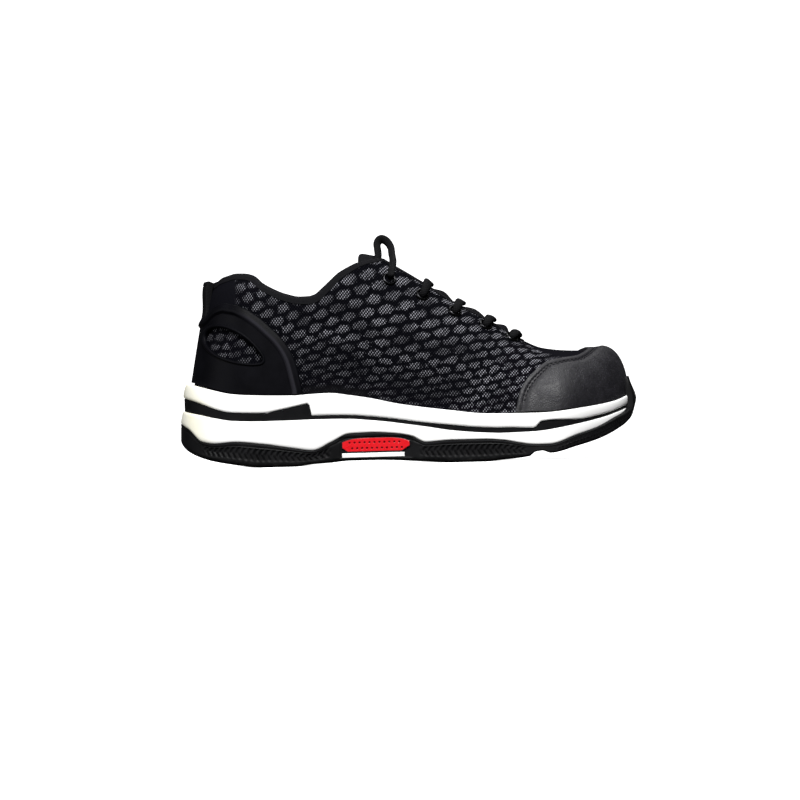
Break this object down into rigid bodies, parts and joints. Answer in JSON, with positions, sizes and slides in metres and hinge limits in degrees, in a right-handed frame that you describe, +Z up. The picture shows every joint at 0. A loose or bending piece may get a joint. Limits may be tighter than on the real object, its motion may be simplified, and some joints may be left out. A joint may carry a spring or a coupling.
{
  "type": "safety sneaker",
  "caption": "Low lace-up safety sneaker with a mesh upper, a leather toe cap, a moulded heel counter and a layered foam and rubber sole with coloured arch inserts.",
  "frame": {"origin": "on the floor under the middle of the sole's length and width", "axes": "+X from the heel to the toe, +Y to the inner side of the foot, +Z up"},
  "size_m": [0.3, 0.1119, 0.1492],
  "materials": {
    "outsole_rubber": "matte black moulded rubber",
    "white_foam": "smooth white moulded foam",
    "black_foam": "smooth black moulded foam",
    "red_insert": "glossy red",
    "upper_mesh": "black woven air mesh with grey dots in a scale pattern",
    "toe_leather": "black pebbled leather, slight sheen",
    "counter_plastic": "smooth matte black",
    "lining": "black padded lining",
    "webbing": "black webbing",
    "eyelet_metal": "black lacquered metal",
    "lace": "black round woven lace"
  },
  "bodies": {
    "root": {"arch_bar_inner": "white_foam", "arch_bar_outer": "white_foam", "arch_insert_inner": "red_insert", "arch_insert_outer": "red_insert", "eyelet_inner_1": "eyelet_metal", "eyelet_inner_2": "eyelet_metal", "eyelet_inner_3": "eyelet_metal", "eyelet_inner_4": "eyelet_metal", "eyelet_inner_5": "eyelet_metal", "eyelet_outer_1": "eyelet_metal", "eyelet_outer_2": "eyelet_metal", "eyelet_outer_3": "eyelet_metal", "eyelet_outer_4": "eyelet_metal", "eyelet_outer_5": "eyelet_metal", "heel_counter": "counter_plastic", "heel_tab": "webbing", "insole": "lining", "lace_bar_1": "lace", "lace_bar_2": "lace", "lace_bar_3": "lace", "lace_bar_4": "lace", "lace_loop_inner": "lace", "lace_loop_outer": "lace", "midsole_lower": "white_foam", "midsole_plate": "black_foam", "midsole_upper": "white_foam", "outsole": "outsole_rubber", "toe_cap": "toe_leather", "tongue": "lining", "upper": "upper_mesh"}
  },
  "joints": []
}
